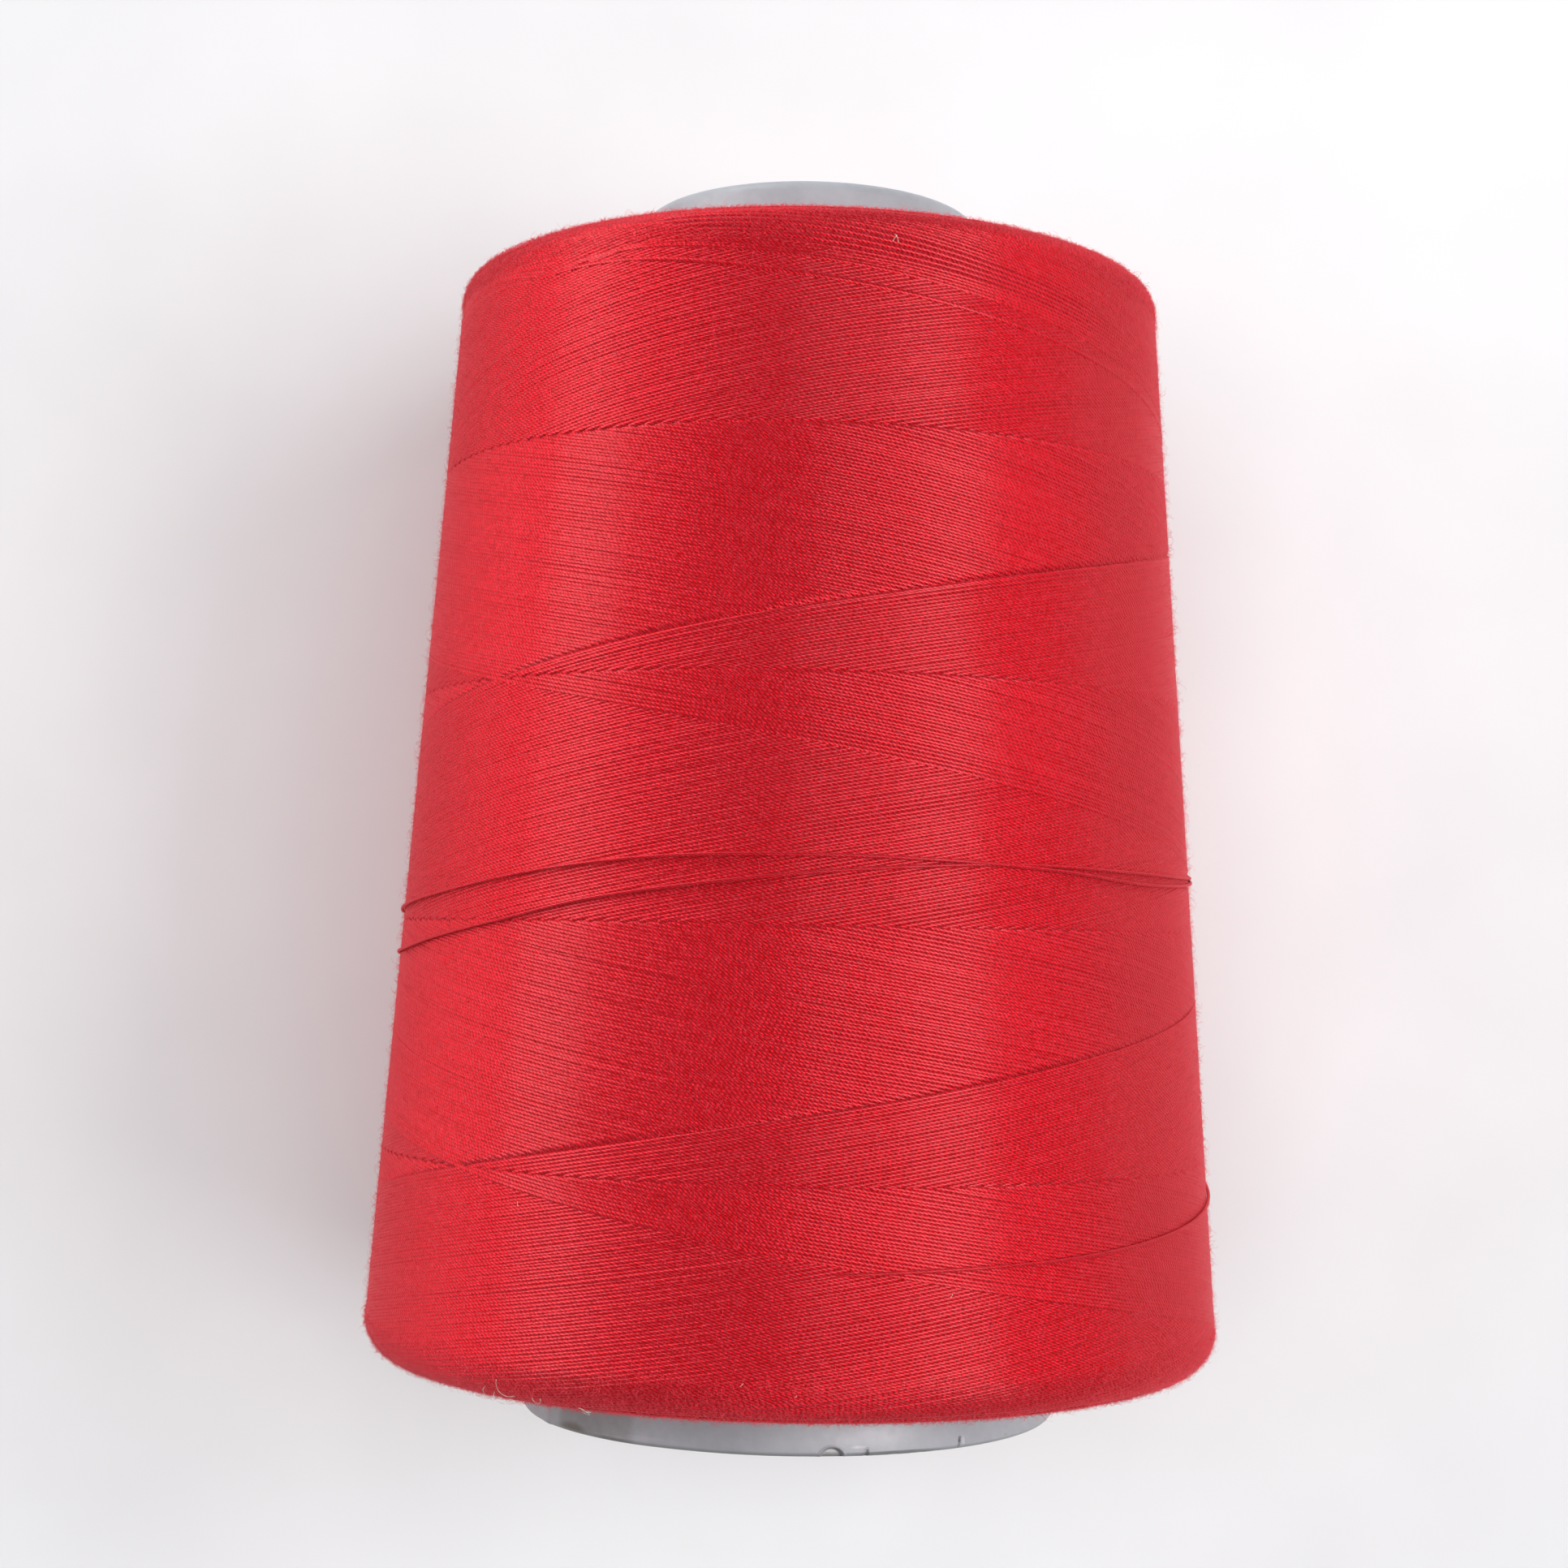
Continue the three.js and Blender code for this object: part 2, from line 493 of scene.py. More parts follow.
def slack_line(points, proud, shade):
    """A line for tubes() that lies so far proud of the winding, and tucks into it at its ends."""
    curve = smooth_through(points, SLACK_SAMPLES)
    angle, height = curve[:, 0], curve[:, 1]
    t = np.linspace(0, 1, len(curve))
    ends = ease(t / SLACK_ENDS) * ease((1 - t) / SLACK_ENDS)
    lift = -SLACK_TUCK + (proud + SLACK_TUCK) * ends
    spots, normals = on_side(height_to_along(height), angle, lift)
    return spots, normals, shade, 0


def slack_turns(material):
    lines = [
        slack_line(SLACK_UPPER, 0.62 * STRAND, 0.62),
        slack_line(SLACK_LOWER, 0.50 * STRAND, 0.58),
        slack_line(STRAY_RIGHT, 0.45 * STRAND, 0.5),
    ]
    return tubes("slack_turns", lines, 8, material, SLACK_RADIUS, 1.0)


# ---- earlier turns, seen through the gaps near the two shoulders ----

UNDER_TURNS_REACH = 11.0
UNDER_TURN_STARTS = (0, 120, 240)
UNDER_TURN_LENGTH = 128
UNDER_TURN_ENDS = 6
UNDER_TURN_TUCK = 1.9 * STRAND
UNDER_TURN_RISE = 1.18
# Millimetres of thread between neighbouring short turns, so that their twists don't line up
TWIST_STEP = 7.3


def under_turns(top):
    """Nearly level turns: outermost round the shoulder, then just under the outer strands."""
    rows = int(UNDER_TURNS_REACH / STRAND_PITCH)
    bare = (TOP_SHOULDER if top else BASE_SHOULDER) * math.radians(90 - SHOULDER_REACH)
    lines = []
    for row in range(rows):
        for start in UNDER_TURN_STARTS:
            x = np.linspace(0, UNDER_TURN_LENGTH, 43)
            ends = ease(x / UNDER_TURN_ENDS) * ease((UNDER_TURN_LENGTH - x) / UNDER_TURN_ENDS)
            base = (row + 0.5) * STRAND_PITCH + rng.uniform(-0.08, 0.08)
            along = base + 0.10 * np.sin(np.radians(2 * x + 90 * rng.random()) + row)
            along = ALONG[-1] - along if top else along
            outermost = 0.25 * ease((bare - base) / 0.5)
            raised = UNDER_TURN_RISE + outermost + rng.uniform(0, 0.08)
            lift = -UNDER_TURN_TUCK + raised * STRAND * ends
            points, normals = on_side(along, start + 7 * row + x, lift)
            shade = 0.5 + 0.15 * rng.standard_normal()
            lines.append((points, normals, shade, TWIST_STEP * row))
    return lines


# ---- the ends of the winding: turns laid round the flat faces ----

END_PITCH = 0.92 * STRAND
END_ARCS = 10
END_ARC_HALF = 34
END_OUTER_LAP = 0.3
END_INNER_GAP = 0.5


def end_lines(top):
    """Short overlapping arcs round one end face, each dipping under its neighbours at its ends."""
    if top:
        rim, shoulder, sign = thread_radius(THREAD_END - TOP_SHOULDER), TOP_SHOULDER, 1
        edge, inner_z = THREAD_END, THREAD_END - END_DISH
    else:
        rim, shoulder, sign = thread_radius(THREAD_START + BASE_SHOULDER), BASE_SHOULDER, -1
        edge, inner_z = THREAD_START, THREAD_START + END_DISH
    outer = rim - shoulder + END_OUTER_LAP
    inner = cone_radius(edge) + END_INNER_GAP
    rows = int((outer - inner) / END_PITCH)
    lines = []
    for row in range(rows + 1):
        radius = outer - row * (outer - inner) / rows
        share = (outer - radius) / (outer - inner)
        level = edge + (inner_z - edge) * share
        start = rng.uniform(0, TURN)
        for n in range(END_ARCS):
            x = np.linspace(-END_ARC_HALF, END_ARC_HALF, 15)
            bend = (x / END_ARC_HALF) ** 2
            angle = start + n * TURN / END_ARCS + x + rng.uniform(-5, 5)
            r = radius + rng.normal(0, 0.05) + 0.25 * bend * rng.uniform(-1, 1)
            dip = ease((np.abs(x) - END_ARC_HALF / 2) / (END_ARC_HALF / 2))
            depth = 0.5 * STRAND + 2.6 * STRAND * dip + rng.uniform(0, 0.12)
            normal = around(np.zeros_like(x), angle, np.full_like(x, sign))
            shade = 0.42 + 0.16 * rng.standard_normal()
            points = around(r, angle, level - sign * depth)
            lines.append((points, normal, shade, TWIST_STEP * n))
    return lines


# ---- the body of thread under the outer strands ----

BED_DEPTH = 0.42 * STRAND
BED_SEAT = 0.05


def thread_bed(material):
    """One turned solid, just under the outer strands and tight round the cone."""
    side = []
    for along in np.linspace(0, ALONG[-1], 90):
        radius = np.interp(along, ALONG, OUTLINE[:, 0])
        height = np.interp(along, ALONG, OUTLINE[:, 1])
        out = np.interp(along, ALONG, SLOPES[:, 1])
        up = -np.interp(along, ALONG, SLOPES[:, 0])
        side.append((radius - BED_DEPTH * out, height - BED_DEPTH * up))
    low = THREAD_START + END_DISH + BED_DEPTH
    high = THREAD_END - END_DISH - BED_DEPTH
    outline = [(cone_radius(low) + BED_SEAT, low), *side, (cone_radius(high) + BED_SEAT, high)]
    points, quads = lathe(outline, np.arange(0, TURN, 1.5))
    return put("thread_bed", points, quads, material)


# ---- fuzz and lint ----

HAIR_STEPS = 3
HAIR_SIDES = 3
HAIR_RADIUS = 0.013
SHORTEST_HAIR = 0.16
HAIRS = 16000


def hairs(name, along, angle, length, heading, curl, rise, material):
    """Loose fibre ends, standing off the winding as short curved hairs."""
    count = len(along)
    t = np.linspace(0, 1, HAIR_STEPS)
    bend = heading[:, None] + curl[:, None] * t
    step = (length / (HAIR_STEPS - 1))[:, None]
    sideways = np.cumsum(np.cos(bend), 1) * step
    upward = np.cumsum(np.sin(bend), 1) * step
    lift = -0.06 + rise[:, None] * np.sin(math.pi * 0.6 * t) * length[:, None]
    here = np.clip(along[:, None] + upward, 0, ALONG[-1])
    out = np.interp(here, ALONG, OUTLINE[:, 0])
    turned = angle[:, None] + np.degrees(sideways / out)
    points, normals = on_side(here.ravel(), turned.ravel(), lift.ravel())
    size = HAIR_RADIUS * np.tile(np.linspace(1, 0.55, HAIR_STEPS), count)
    shades = np.repeat(rng.uniform(0.2, 0.8, count), HAIR_STEPS)
    counts = np.full(count, HAIR_STEPS)
    return tube_mesh(name, points, normals, shades, counts, size, HAIR_SIDES, material)


def fuzz(count, material):
    """Hairs all over the winding, and a denser, shorter nap round its two shoulders."""
    whole = (0, ALONG[-1], 1.5)
    base = (0, BASE_SHOULDER * 1.7, 1.1)
    nose = (ALONG[-1] - TOP_SHOULDER * 1.9, ALONG[-1], 0.8)
    made = []
    for n, (start, end, longest) in enumerate([whole] * 7 + [base] * 2 + [nose] * 2):
        along = rng.uniform(start, end, count)
        angle = rng.uniform(0, TURN, count)
        length = SHORTEST_HAIR + longest * rng.beta(1.0, 6.0, count)
        heading = rng.normal(0, 1.1, count) + np.where(rng.random(count) < 0.5, 0, math.pi)
        curl = rng.normal(0, 1.4, count)
        rise = rng.uniform(0.1, 0.95, count)
        made.append(hairs(f"fuzz_{n + 1}", along, angle, length, heading, curl, rise, material))
    return made


# Pale lint caught on the thread: angle, height, direction across it, length and curl of each
LINT = [
    (11.6, 107.7, 68, 0.75, -0.3), (12.5, 107.6, 102, 0.85, 0.3), (12.3, 108.3, 140, 0.25, 0.5),
    (75.4, 31.2, 60, 0.8, 1.5), (75.6, 31.4, 120, 0.5, -1.0), (-5.9, 8.9, 20, 0.35, 0.8),
    (0.3, 8.1, 10, 0.3, 1.0), (18.7, 16.2, 30, 0.35, 0.9), (-35.9, 22.4, 80, 0.45, 0.7),
    (-25.9, 5.9, 200, 2.4, 7.0), (-25.2, 5.8, 260, 2.0, -8.0), (-26.6, 5.9, 300, 1.8, 6.0),
    (-38.8, 6.5, 215, 3.0, 2.6), (-35.5, 6.4, 200, 2.6, -2.2), (-33.0, 6.5, 250, 1.6, 3.5),
    (-40.0, 6.8, 190, 2.2, 3.0),
]
LINT_RADIUS = 0.020


def lint(material):
    """Curved fibres. One that reaches past the winding's base edge goes on down from there."""
    lines = []
    for angle, height, heading, length, curl in LINT:
        t = np.linspace(0, 1, 14)
        bend = math.radians(heading) + curl * t
        step = length / (len(t) - 1)
        sideways = np.cumsum(np.cos(bend)) * step
        along = height_to_along(height) + np.cumsum(np.sin(bend)) * step
        lift = 0.03 + 0.16 * length * np.sin(math.pi * (0.1 + 0.8 * t))
        low = np.minimum(along, 0)
        turned = angle + np.degrees(sideways / thread_radius(height))
        points, normals = on_side(np.maximum(along, 0), turned, lift)
        points[:, 2] += 0.4 * low
        lines.append((points, normals, 0.5, 0))
    return tubes("lint", lines, 5, material, LINT_RADIUS, 1.0)


# ---- the moulded cone ----


def cone_outline():
    """The moulding's section: down the bore, round the base rim, up the outside, over the nose."""
    lip = NOSE_LIP_THICKNESS / 2
    lip_z = CONE_LENGTH - lip
    lip_r = cone_radius(lip_z) - lip
    lip_bottom = CONE_LENGTH - NOSE_LIP_DEPTH
    wall = CONE_WALL * math.hypot(1, CONE_TAPER)
    inner = cone_radius(0) - wall
    edge = BASE_EDGE_ROUND
    bore_heights = np.linspace(lip_bottom - NOSE_LIP_FLARE, 0.35, 14)
    bore = [(cone_radius(z) - wall, z) for z in bore_heights]
    foot = [(inner + BASE_INNER_CHAMFER, 0.0), (inner + 0.75, 0.0)]
    base = arc(CONE_BASE_RADIUS - edge, edge, edge, -90, -4, 9)
    rim_heights = np.concatenate([np.arange(0.56, 1.5, 0.06), np.arange(1.6, 6, 0.4)])
    heights = np.concatenate([rim_heights, np.linspace(8, 115, 14)])
    outside = [(cone_radius(z), z) for z in heights]
    nose = arc(lip_r, lip_z, lip, 4, 180, 22)
    return np.array([*foot, *base, *outside, *nose, (lip_r - lip, lip_bottom), *bore])


# Worn places on the base rim: angle, half width, height, depth and lean of each
GOUGES = [
    (8.6, 1.05, 0.82, 0.34, 0.0),
    (15.4, 0.26, 0.66, 0.32, 0.2),
    (21.5, 0.50, 0.22, 0.12, 0.0),
    (26.8, 0.80, 0.18, 0.09, 0.0),
    (31.2, 0.40, 0.24, 0.10, 0.0),
]
TAIL_SLIT = {
    "angle": 36.5, "half_width": 0.13, "low": 0.12, "high": 1.15, "depth": 0.9, "lean": 0.25,
}
NICK = {"angle": 51, "height": 0.7, "size": 0.2, "depth": 0.14}
# The rim's moulded flat and its swelling: start, end, the ramp at each, and how far it is proud
RAISED = [(-121, -59, 0.6, 0.6, 0.14), (-66, -22, 8, 16, 0.22)]
# A gouge's edge and the burr round it, as shares of its size, and the burr's share of its depth
GOUGE_EDGE = 0.18
BURR_AT = 1.12
BURR_WIDTH = 0.13
BURR_HEIGHT = 0.2
MM_PER_DEGREE = CONE_BASE_RADIUS * math.pi / 180
# The outline's first points are the foot of the rim. Above this height there is no wear.
FOOT_POINTS = 3
WEAR_HEIGHT = 20
WEAR_FADE = 10


def cone_wear(angle, height, index):
    """How far the base rim's outside stands proud at its raised places and worn ones."""
    angle = (angle + TURN / 2) % TURN - TURN / 2
    proud = np.zeros_like(height)
    for at, half_width, high, depth, lean in GOUGES:
        x = (angle - at) * MM_PER_DEGREE - lean * height
        u = np.hypot(x / half_width, height / high)
        proud -= depth * ease((1 - u) / GOUGE_EDGE)
        proud += BURR_HEIGHT * depth * np.exp(-(((u - BURR_AT) / BURR_WIDTH) ** 2))
    x = (angle - TAIL_SLIT["angle"]) * MM_PER_DEGREE - TAIL_SLIT["lean"] * height
    ends = ease((TAIL_SLIT["high"] - height) / 0.15) * ease((height - TAIL_SLIT["low"]) / 0.15)
    proud -= TAIL_SLIT["depth"] * ease((TAIL_SLIT["half_width"] - np.abs(x)) / 0.08) * ends
    x = (angle - NICK["angle"]) * MM_PER_DEGREE
    away = np.hypot(x, height - NICK["height"]) / NICK["size"]
    proud -= NICK["depth"] * np.exp(-(away**2))
    for start, end, rise, drop, out in RAISED:
        proud += out * ease((angle - start) / rise) * ease((end - angle) / drop)
    outside = (index >= FOOT_POINTS) & (height < WEAR_HEIGHT)
    return np.where(outside, proud, 0) * ease((WEAR_HEIGHT - height) / WEAR_FADE)


def cone_core(material):
    """The moulding, with close steps round its gouges and at both sides of its flat."""
    spans = [(4, 54, 0.16), (-123, -119, 0.3), (-61, -57, 0.3)]
    spans += [(54, 237, 1.0), (-119, -61, 1.0), (-57, 4, 1.0)]
    angles = np.sort(np.concatenate([np.arange(*span) for span in spans]))
    points, quads = lathe(cone_outline(), angles, cone_wear)
    return put("moulded_cone", points, quads, material)


# ---- materials ----


def new_material(name):
    material = bpy.data.materials.new(name)
    material.use_nodes = True
    tree = material.node_tree
    return material, tree, tree.nodes["Principled BSDF"]


def set_inputs(node, values):
    for socket, value in values.items():
        node.inputs[socket].default_value = value


def object_place(tree):
    return tree.nodes.new("ShaderNodeTexCoord").outputs["Object"]


def shade_of(tree):
    """The shade that put() stores at each point of a strand."""
    node = tree.nodes.new("ShaderNodeAttribute")
    node.attribute_name = "shade"
    return node.outputs["Fac"]


def math_node(tree, operation, *values):
    node = tree.nodes.new("ShaderNodeMath")
    node.operation = operation
    for socket, value in zip(node.inputs, values):
        if isinstance(value, (int, float)):
            socket.default_value = value
        else:
            tree.links.new(value, socket)
    return node.outputs[0]


def add_up(tree, total, *parts):
    """A total with each part's value, times its weight, added to it."""
    for value, weight in parts:
        total = math_node(tree, "MULTIPLY_ADD", value, weight, total)
    return total


def noise(tree, vector, scale, detail):
    node = tree.nodes.new("ShaderNodeTexNoise")
    set_inputs(node, {"Scale": scale, "Detail": detail})
    tree.links.new(vector, node.inputs["Vector"])
    return node.outputs["Fac"]


def bump(tree, shader, height, relief, strength=1.0):
    """Raises a shader's surface by a height from 0 to 1, times a relief in millimetres."""
    node = tree.nodes.new("ShaderNodeBump")
    set_inputs(node, {"Strength": strength, "Distance": relief * MM})
    tree.links.new(height, node.inputs["Height"])
    tree.links.new(node.outputs["Normal"], shader.inputs["Normal"])


def ramp(tree, value, stops):
    node = tree.nodes.new("ShaderNodeValToRGB")
    node.color_ramp.elements[0].position = stops[0][0]
    node.color_ramp.elements[0].color = (*stops[0][1], 1)
    node.color_ramp.elements[1].position = stops[-1][0]
    node.color_ramp.elements[1].color = (*stops[-1][1], 1)
    for position, colour in stops[1:-1]:
        node.color_ramp.elements.new(position).color = (*colour, 1)
    tree.links.new(value, node.inputs["Fac"])
    return node.outputs["Color"]


# The thread's ramp runs from painted shade in the ply gaps, through plain red, to a painted pinkish
# highlight on the ply ridges and on the bed's rib crests
RED_DEEP_AND_SHADE = (0.55, 0.001, 0.004)
RED = (0.66, 0.005, 0.014)
RED_LIGHT_AND_HIGHLIGHT = (0.74, 0.024, 0.044)
# Painted shade in the troughs of the bed's ribs
BED_RIB_SHADE_RED = (0.62, 0.008, 0.020)
BED_RELIEF = 0.06
FIBRE_RED = (0.72, 0.020, 0.035)
FIBRE_PALE = (0.92, 0.10, 0.14)
LINT_DIRTY = (0.50, 0.38, 0.30)
LINT_PALE = (0.85, 0.80, 0.74)
PLASTIC_DARK = (0.33, 0.35, 0.38)
PLASTIC_LIGHT = (0.43, 0.455, 0.49)
# Painted shade along the rim's rounded lower edge, which faces downwards
PLASTIC_EDGE_SHADE = (0.17, 0.165, 0.16)
PLASTIC_RELIEF = 0.03
PLY_LENGTH = 0.46
PLY_RELIEF = 0.05
PLY_SLANT = 4
PLY_ROUNDNESS = 0.6
PLY_WANDER = 1.6
PLY_WANDER_SCALE = 0.35
FIBRE_ALONG = 2.2
FIBRE_ACROSS = 4.0
FIBRE_SCALE = 2.5
HAZE_SCALE = 3000.0
HAZE_TONE = 0.9
CLUMP_SCALE = 1500.0
CLUMP_TONE = 0.7
TONE_LEVEL = 0.36 + 0.5 * (HAZE_TONE + CLUMP_TONE)

# The silky sheen of spun thread, under a haze of fine fibres
THREAD_FINISH = {
    "Roughness": 0.37,
    "Metallic": 0.74,
    "IOR": 1.3,
    "Specular Tint": (1.0, 0.25, 0.3, 1),
    "Coat Weight": 0.09,
    "Coat IOR": 2.2,
    "Coat Roughness": 0.22,
    "Sheen Weight": 0.24,
    "Sheen Roughness": 0.5,
    "Sheen Tint": (1.0, 0.26, 0.34, 1),
}


def ply_pattern(tree):
    """Slanting ply ridges, from 0 in a gap to 1 on a ridge, and the fibres that run along them."""
    uv = tree.nodes.new("ShaderNodeUVMap")
    uv.uv_map = "Strand"
    split = tree.nodes.new("ShaderNodeSeparateXYZ")
    tree.links.new(uv.outputs["UV"], split.inputs[0])
    run, side = split.outputs["X"], split.outputs["Y"]
    along = tree.nodes.new("ShaderNodeCombineXYZ")
    tree.links.new(run, along.inputs[0])
    uneven = noise(tree, along.outputs[0], PLY_WANDER_SCALE, 2.0)
    turns = math_node(tree, "DIVIDE", run, PLY_LENGTH)
    turns = math_node(tree, "MULTIPLY_ADD", uneven, PLY_WANDER, turns)
    slant = math_node(tree, "MULTIPLY", side, float(PLY_SLANT))
    phase = math_node(tree, "SUBTRACT", turns, slant)
    wave = math_node(tree, "COSINE", math_node(tree, "MULTIPLY", phase, TAU))
    wave = math_node(tree, "MULTIPLY_ADD", wave, 0.5, 0.5)
    wave = math_node(tree, "POWER", wave, PLY_ROUNDNESS)
    stretch = tree.nodes.new("ShaderNodeCombineXYZ")
    tree.links.new(math_node(tree, "MULTIPLY", run, FIBRE_ALONG), stretch.inputs[0])
    tree.links.new(math_node(tree, "MULTIPLY", phase, FIBRE_ACROSS), stretch.inputs[1])
    return wave, noise(tree, stretch.outputs[0], FIBRE_SCALE, 3.0)


def strand_material():
    """Spun thread: twisted plies and their fibres, in slightly uneven red, under a fine haze."""
    material, tree, shader = new_material("thread_red")
    wave, fibres = ply_pattern(tree)
    where = object_place(tree)
    haze = noise(tree, where, HAZE_SCALE, 3.0)
    clumps = noise(tree, where, CLUMP_SCALE, 2.0)
    height = add_up(tree, wave, (fibres, 0.6), (haze, 0.8), (clumps, 0.8))
    bump(tree, shader, height, PLY_RELIEF)
    tone = math_node(tree, "MULTIPLY", shade_of(tree), 0.3)
    # The ply ridges paint a highlight on each strand and their gaps paint shade, over its uneven
    # red
    tone = add_up(tree, tone, (wave, 0.9), (fibres, 0.45), (haze, HAZE_TONE), (clumps, CLUMP_TONE))
    tone = math_node(tree, "SUBTRACT", tone, TONE_LEVEL)
    colour = ramp(tree, tone, [(0.1, RED_DEEP_AND_SHADE), (0.5, RED), (0.95, RED_LIGHT_AND_HIGHLIGHT)])
    tree.links.new(colour, shader.inputs["Base Color"])
    set_inputs(shader, THREAD_FINISH)
    return material


def bed_material():
    """Thread seen in the gaps between outer strands, ribbed along the turns."""
    material, tree, shader = new_material("thread_red_deep")
    wave = tree.nodes.new("ShaderNodeTexWave")
    wave.bands_direction = "Z"
    ribs = TAU / (20 * STRAND_PITCH * MM)
    set_inputs(wave, {"Scale": ribs, "Distortion": 2.0, "Detail Scale": 2.0})
    tree.links.new(object_place(tree), wave.inputs["Vector"])
    # The ribs get painted shade in their troughs and a painted highlight on their crests
    colour = ramp(tree, wave.outputs["Fac"], [(0.0, BED_RIB_SHADE_RED), (1.0, RED_LIGHT_AND_HIGHLIGHT)])
    tree.links.new(colour, shader.inputs["Base Color"])
    bump(tree, shader, wave.outputs["Fac"], BED_RELIEF)
    set_inputs(shader, THREAD_FINISH)
    return material


def fuzz_material():
    """Single fibres: each its own red, and paler along parts of its length."""
    material, tree, shader = new_material("thread_fuzz")
    patchy = noise(tree, object_place(tree), 3000.0, 2.0)
    tone = math_node(tree, "MULTIPLY", shade_of(tree), 0.6)
    tone = math_node(tree, "MULTIPLY_ADD", patchy, 0.5, tone)
    colour = ramp(tree, tone, [(0.2, FIBRE_RED), (0.8, FIBRE_PALE)])
    tree.links.new(colour, shader.inputs["Base Color"])
    shader.inputs["Roughness"].default_value = 0.6
    return material


def lint_material():
    """Stray pale fibres, a little dirty in places."""
    material, tree, shader = new_material("lint")
    dirt = noise(tree, object_place(tree), 4000.0, 2.0)
    colour = ramp(tree, dirt, [(0.35, LINT_DIRTY), (0.6, LINT_PALE)])
    tree.links.new(colour, shader.inputs["Base Color"])
    shader.inputs["Roughness"].default_value = 0.7
    return material


def blend(tree, share, under, over):
    """Paints one colour over another by a share from 0 to 1."""
    node = tree.nodes.new("ShaderNodeMix")
    node.data_type = "RGBA"
    tree.links.new(share, node.inputs["Factor"])
    for socket, value in ((node.inputs[6], under), (node.inputs[7], over)):
        if isinstance(value, tuple):
            socket.default_value = (*value, 1)
        else:
            tree.links.new(value, socket)
    return node.outputs[2]


# Tones on the base rim, some of them painted shade: angle, height, half of its width and height,
# softness, share and colour
RIM_MARKS = [
    (-44, 2.0, 12.5, 9, 0.25, 0.55, (0.2, 0.195, 0.19)),
    (-50, 0.3, 6, 0.9, 0.6, 0.75, (0.13, 0.115, 0.085)),
    (-38, 0.1, 8, 0.35, 0.7, 0.6, (0.1, 0.09, 0.07)),
    (-29, 0.75, 7, 0.28, 0.9, 0.6, (0.47, 0.45, 0.52)),
    # Painted shade along the upper edge of the gouge at 8.6 degrees
    (8.6, 0.15, 2.5, 0.85, 0.12, 0.8, (0.1, 0.1, 0.1)),
    (8.2, 0.1, 2.1, 0.72, 0.25, 0.8, (0.52, 0.52, 0.53)),
    (14, 0.85, 2.4, 0.2, 0.9, 0.6, (0.7, 0.7, 0.74)),
    (17, 1.7, 13, 1.3, 1.0, 0.5, (0.62, 0.63, 0.68)),
    (22, 0.2, 11, 0.3, 0.5, 0.6, (0.13, 0.13, 0.14)),
    # Painted shade inside the tail slit
    (36.9, 0.85, 0.45, 0.4, 0.5, 0.8, (0.07, 0.07, 0.07)),
    (37.9, 0.7, 0.5, 0.6, 0.8, 0.5, (0.66, 0.66, 0.7)),
]


def spot(tree, angle, height, mark):
    """A mark's share in its soft-edged oval on the cone's side, falling to 0 outside it."""
    at, level, half_angle, half_height, soft, share, _ = mark
    across = math_node(tree, "DIVIDE", math_node(tree, "SUBTRACT", angle, at), half_angle)
    above = math_node(tree, "DIVIDE", math_node(tree, "SUBTRACT", height, level), half_height)
    across = math_node(tree, "MULTIPLY", across, across)
    above = math_node(tree, "MULTIPLY", above, above)
    reach = math_node(tree, "SQRT", math_node(tree, "ADD", across, above))
    fade = tree.nodes.new("ShaderNodeMapRange")
    fade.interpolation_type = "SMOOTHSTEP"
    set_inputs(fade, {"From Min": 1.0, "From Max": 1.0 - soft, "To Max": share})
    tree.links.new(reach, fade.inputs["Value"])
    return fade.outputs["Result"]


def plastic_material():
    """Satin blue-grey moulded plastic, faintly clouded and scuffed, with marks and painted shade on
    its rim.
    """
    material, tree, shader = new_material("cone_plastic")
    where = object_place(tree)
    place = tree.nodes.new("ShaderNodeSeparateXYZ")
    tree.links.new(where, place.inputs[0])
    facing = math_node(tree, "MULTIPLY", place.outputs["Y"], -1.0)
    turned = math_node(tree, "ARCTAN2", place.outputs["X"], facing)
    angle = math_node(tree, "MULTIPLY", turned, math.degrees(1))
    height = math_node(tree, "DIVIDE", place.outputs["Z"], MM)
    cloud = noise(tree, where, 90.0, 4.0)
    grain = noise(tree, where, 1100.0, 4.0)
    fine = noise(tree, where, 2600.0, 3.0)
    tone = math_node(tree, "MULTIPLY_ADD", grain, 0.35, math_node(tree, "MULTIPLY", cloud, 0.65))
    colour = ramp(tree, tone, [(0.3, PLASTIC_DARK), (0.7, PLASTIC_LIGHT)])
    mark_grain = math_node(tree, "MULTIPLY_ADD", grain, 1.3, 0.35)
    # The marks, the painted shade among them, broken up by the grain
    for mark in RIM_MARKS:
        share = math_node(tree, "MULTIPLY", spot(tree, angle, height, mark), mark_grain)
        colour = blend(tree, math_node(tree, "MINIMUM", share, 1.0), colour, mark[-1])
    # Painted shade along the lower edge, darker towards the bottom, where the rounded rim turns
    # downwards
    edge = tree.nodes.new("ShaderNodeMapRange")
    set_inputs(edge, {"From Min": 0.45, "From Max": 0.15, "To Max": 0.65})
    tree.links.new(height, edge.inputs["Value"])
    colour = blend(tree, edge.outputs["Result"], colour, PLASTIC_EDGE_SHADE)
    tree.links.new(colour, shader.inputs["Base Color"])
    rough = math_node(tree, "ADD", math_node(tree, "MULTIPLY", cloud, 0.16), 0.34)
    tree.links.new(rough, shader.inputs["Roughness"])
    relief = math_node(tree, "MULTIPLY_ADD", grain, 2.0, fine)
    bump(tree, shader, relief, PLASTIC_RELIEF, 0.4)
    return material


# ---- the surface it lies against, lights and camera ----

CAMERA_DISTANCE = 252.2
CAMERA_TILT = math.radians(3.55)
CAMERA_ROLL = math.radians(1.12)
CAMERA_SHIFT_RIGHT = 1.53
CAMERA_SHIFT_UP = -3.4
FIELD_OF_VIEW = math.radians(34.82)
SURFACE_HALF = 900.0
SURFACE_GAP = 0.4
LIGHT_DISTANCE = 1.0


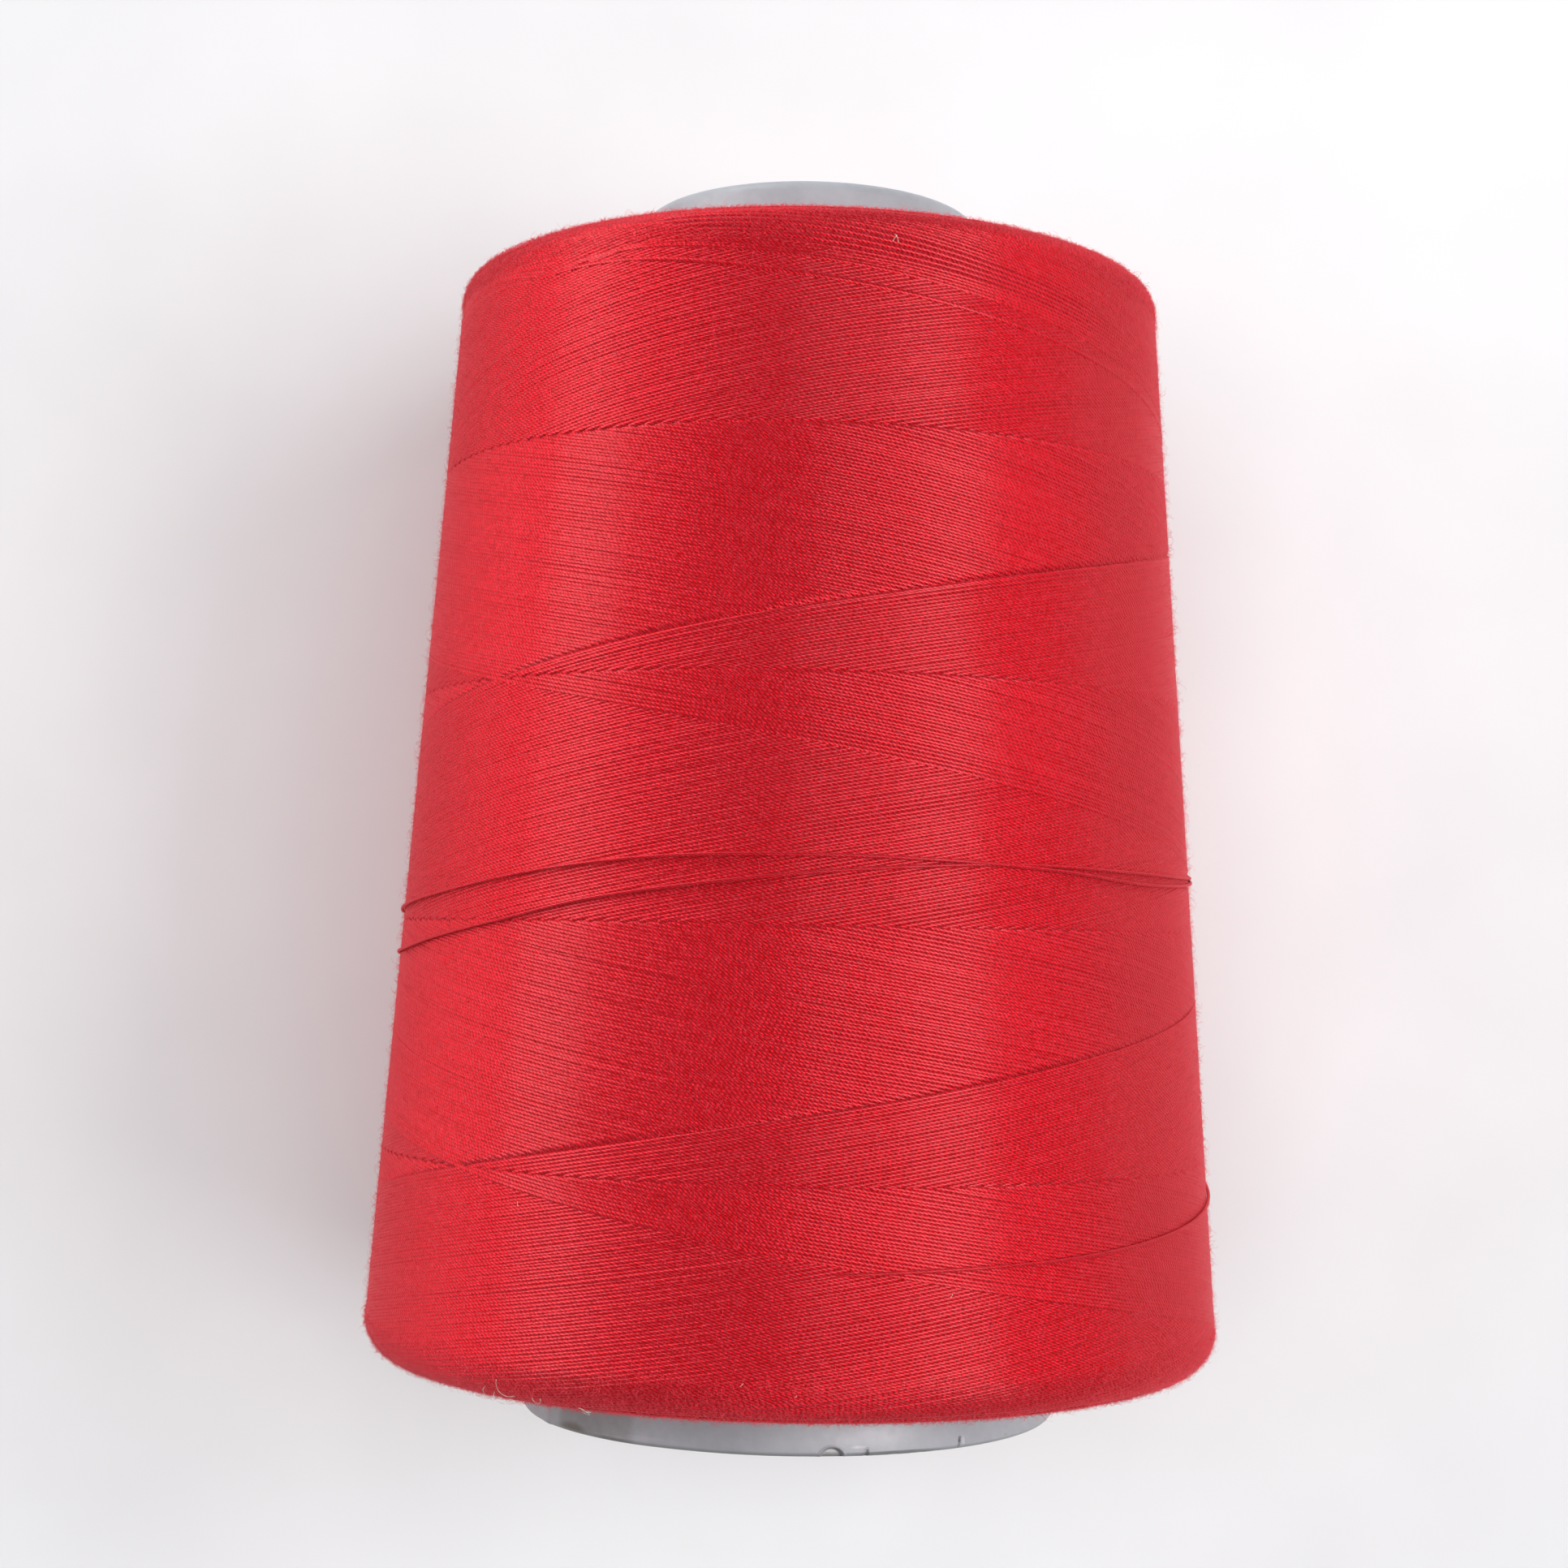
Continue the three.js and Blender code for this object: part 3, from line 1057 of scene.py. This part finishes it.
def make_camera():
    """Looks at the winding's middle from its -Y side and slightly below, rolled a little."""
    back = Vector((0, -math.cos(CAMERA_TILT), -math.sin(CAMERA_TILT)))
    up = Vector((0, -math.sin(CAMERA_TILT), math.cos(CAMERA_TILT)))
    right = Vector((1, 0, 0))
    roll = Matrix.Rotation(CAMERA_ROLL, 3, back)
    right, up = roll @ right, roll @ up
    place = Vector((0, 0, AXIS_MIDDLE)) + back * CAMERA_DISTANCE
    place -= right * CAMERA_SHIFT_RIGHT + up * CAMERA_SHIFT_UP
    camera = bpy.data.objects.new("camera", bpy.data.cameras.new("camera"))
    camera.data.angle = FIELD_OF_VIEW
    camera.data.clip_start = 0.01
    rotation = Matrix((right, up, back)).transposed()
    camera.matrix_world = Matrix.Translation(place * MM) @ rotation.to_4x4()
    bpy.context.scene.collection.objects.link(camera)
    bpy.context.scene.camera = camera


def make_surface():
    """The pale surface that the cone lies on its side against, seen only from its front."""
    lean = math.atan(THREAD_TAPER)
    contact = thread_radius(AXIS_MIDDLE) + SURFACE_GAP
    half = SURFACE_HALF
    points = [(-half, 0, -half), (half, 0, -half), (half, 0, half), (-half, 0, half)]
    surface_material, tree, shader = new_material("pale_surface")
    mottle = noise(tree, object_place(tree), 30.0, 3.0)
    colour = ramp(tree, mottle, [(0.3, (0.63, 0.63, 0.64)), (0.7, (0.67, 0.67, 0.68))])
    tree.links.new(colour, shader.inputs["Base Color"])
    shader.inputs["Roughness"].default_value = 0.7
    clear = tree.nodes.new("ShaderNodeBsdfTransparent")
    mix = tree.nodes.new("ShaderNodeMixShader")
    facing = tree.nodes.new("ShaderNodeNewGeometry")
    tree.links.new(facing.outputs["Backfacing"], mix.inputs[0])
    tree.links.new(shader.outputs[0], mix.inputs[1])
    tree.links.new(clear.outputs[0], mix.inputs[2])
    tree.links.new(mix.outputs[0], tree.nodes["Material Output"].inputs["Surface"])
    surface = put("pale_surface", points, [(0, 1, 2, 3)], surface_material, False)
    place = Matrix.Translation((0, contact * MM, AXIS_MIDDLE * MM))
    surface.matrix_world = place @ Matrix.Rotation(lean, 4, "X")
    surface.visible_shadow = False
    return surface


def area_light(name, azimuth, elevation, size, watts, only=None):
    """A soft light that faces the winding's middle. Azimuth 0 is the camera's side, + is to +X.

    With only, it lights that one object.
    """
    light = bpy.data.objects.new(name, bpy.data.lights.new(name, "AREA"))
    light.data.shape = "RECTANGLE"
    light.data.size, light.data.size_y = size
    light.data.energy = watts
    if only:
        lit = bpy.data.collections.new(f"{name}_lights")
        lit.objects.link(only)
        light.light_linking.receiver_collection = lit
    turn, rise = math.radians(azimuth), math.radians(elevation)
    level = math.cos(rise)
    direction = Vector((math.sin(turn) * level, -math.cos(turn) * level, math.sin(rise)))
    middle = Vector((0, 0, AXIS_MIDDLE * MM))
    facing = direction.to_track_quat("Z", "Y").to_matrix().to_4x4()
    light.matrix_world = Matrix.Translation(middle + direction * LIGHT_DISTANCE) @ facing
    bpy.context.scene.collection.objects.link(light)
    return light


def make_lights(surface):
    area_light("window_right", 41, 2, (0.4, 0.8), 6.6)
    area_light("room_left", -71, 20, (0.4, 0.8), 5.6)
    area_light("front_fill", 15, 0, (0.5, 0.5), 3.4)
    area_light("rear_fill", 180, 25, (1.0, 1.0), 5.0)
    area_light("window_top", -75, 62, (0.4, 0.4), 2.2)
    area_light("surface_front", -9, 0, (0.5, 0.5), 3.1, surface)
    right = area_light("surface_right", 62, 0, (0.5, 0.5), 2.2, surface)
    right.data.use_shadow = False
    world = bpy.data.worlds.new("pale_room")
    world.use_nodes = True
    background = world.node_tree.nodes["Background"]
    set_inputs(background, {"Color": (0.92, 0.92, 0.94, 1), "Strength": 0.19})
    bpy.context.scene.world = world


# ---- assembly ----

STRAND_SIDES = 6


def attach(piece, replaces=None):
    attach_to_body(piece, "root")
    if replaces:
        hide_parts(replaces)


def make_object():
    red = strand_material()
    attach(cone_core(plastic_material()), "cone_core")
    attach(thread_bed(bed_material()), "wound_thread")
    strands = in_pieces("winding", winding_lines(), STRAND_SIDES, red)
    strands.append(slack_turns(red))
    for top, name in ((True, "nose"), (False, "base")):
        strands.append(tubes(f"{name}_end_turns", end_lines(top), STRAND_SIDES, red))
        strands.append(tubes(f"{name}_under_turns", under_turns(top), STRAND_SIDES, red))
    strands += fuzz(HAIRS, fuzz_material())
    strands.append(lint(lint_material()))
    for piece in strands:
        attach(piece)


make_camera()
surface = make_surface()
make_lights(surface)
make_object()
bpy.context.scene.view_settings.view_transform = "Standard"
